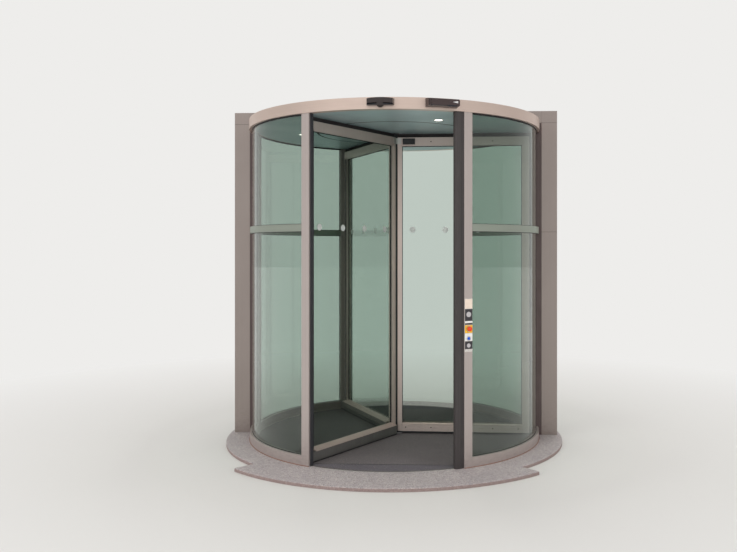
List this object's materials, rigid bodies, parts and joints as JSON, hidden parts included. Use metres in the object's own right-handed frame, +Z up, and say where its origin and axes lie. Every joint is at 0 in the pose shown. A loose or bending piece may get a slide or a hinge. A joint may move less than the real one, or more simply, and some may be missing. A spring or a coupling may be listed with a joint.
{
  "type": "revolving door",
  "caption": "Glazed revolving door: metal-framed wings turn together in a curved glass drum with ceiling, fascia and a stone step.",
  "frame": {"origin": "on the axis of rotation, at the underside of the stone step", "axes": "+Z up along the axle, +Y into the building, +X to the right seen from outside"},
  "size_m": [2.7758, 2.9358, 2.73],
  "materials": {
    "curved_glass": "clear, slightly green, curved",
    "wing_glass": "clear, slightly green",
    "wing_metal": "satin anodised",
    "drum_metal": "satin anodised",
    "fascia_metal": "satin anodised with fine lengthwise grain",
    "jamb_metal": "satin anodised",
    "ceiling_metal": "satin grey",
    "black_rubber": "matt",
    "brush_seal": "fine bristles",
    "safety_rubber": "matt ribbed",
    "black_metal": "black satin",
    "steel": "brushed",
    "granite": "speckled, flamed",
    "mat": "ribbed textile",
    "lens": "frosted",
    "sensor_plastic": "dark gloss",
    "plate_plastic": "smooth",
    "stop_red": "smooth",
    "call_blue": "smooth"
  },
  "bodies": {
    "drum": {"bottom_rail_front_left": "drum_metal", "bottom_rail_front_right": "drum_metal", "bottom_rail_rear_left": "drum_metal", "bottom_rail_rear_right": "drum_metal", "button_plate": "plate_plastic", "call_button": "call_blue", "ceiling_disc": "ceiling_metal", "ceiling_ring": "ceiling_metal", "corner_post_front_left": "drum_metal", "corner_post_front_right": "drum_metal", "corner_post_rear_left": "drum_metal", "corner_post_rear_right": "drum_metal", "downlight_lenses": "lens", "downlights": "steel", "entrance_mat": "mat", "fascia_front": "fascia_metal", "fascia_rear": "fascia_metal", "floor_bearing": "black_metal", "glass_top_seals": "black_rubber", "header_panel": "jamb_metal", "jamb_left": "jamb_metal", "jamb_right": "jamb_metal", "lower_glass_front_left": "curved_glass", "lower_glass_front_right": "curved_glass", "lower_glass_rear_left": "curved_glass", "lower_glass_rear_right": "curved_glass", "mat_frame": "steel", "middle_rail_front_left": "drum_metal", "middle_rail_front_right": "drum_metal", "middle_rail_rear_left": "drum_metal", "middle_rail_rear_right": "drum_metal", "motion_sensors": "sensor_plastic", "post_gaskets": "black_rubber", "presence_sensors": "sensor_plastic", "roof_cover": "ceiling_metal", "safety_edge_front": "safety_rubber", "safety_edge_rear": "safety_rubber", "side_gasket_left": "black_rubber", "side_gasket_right": "black_rubber", "side_post_left": "drum_metal", "side_post_right": "drum_metal", "stone_step": "granite", "stop_button": "stop_red", "top_bearing": "steel", "upper_glass_front_left": "curved_glass", "upper_glass_front_right": "curved_glass", "upper_glass_rear_left": "curved_glass", "upper_glass_rear_right": "curved_glass"},
    "rotor": {"axle": "black_metal", "latch_box": "black_metal", "wing_brackets": "steel", "wing_edge_rubbers": "black_rubber", "wing_frame_a": "wing_metal", "wing_frame_b": "wing_metal", "wing_frame_c": "wing_metal", "wing_gaskets": "black_rubber", "wing_glass_a": "wing_glass", "wing_glass_b": "wing_glass", "wing_glass_c": "wing_glass", "wing_seals": "brush_seal"}
  },
  "joints": [
    {"name": "rotor_spin", "type": "hinge", "parent": "drum", "child": "rotor", "pos_m": [0, 0, 0.025], "axis": [0, 0, 1], "continuous": true}
  ]
}
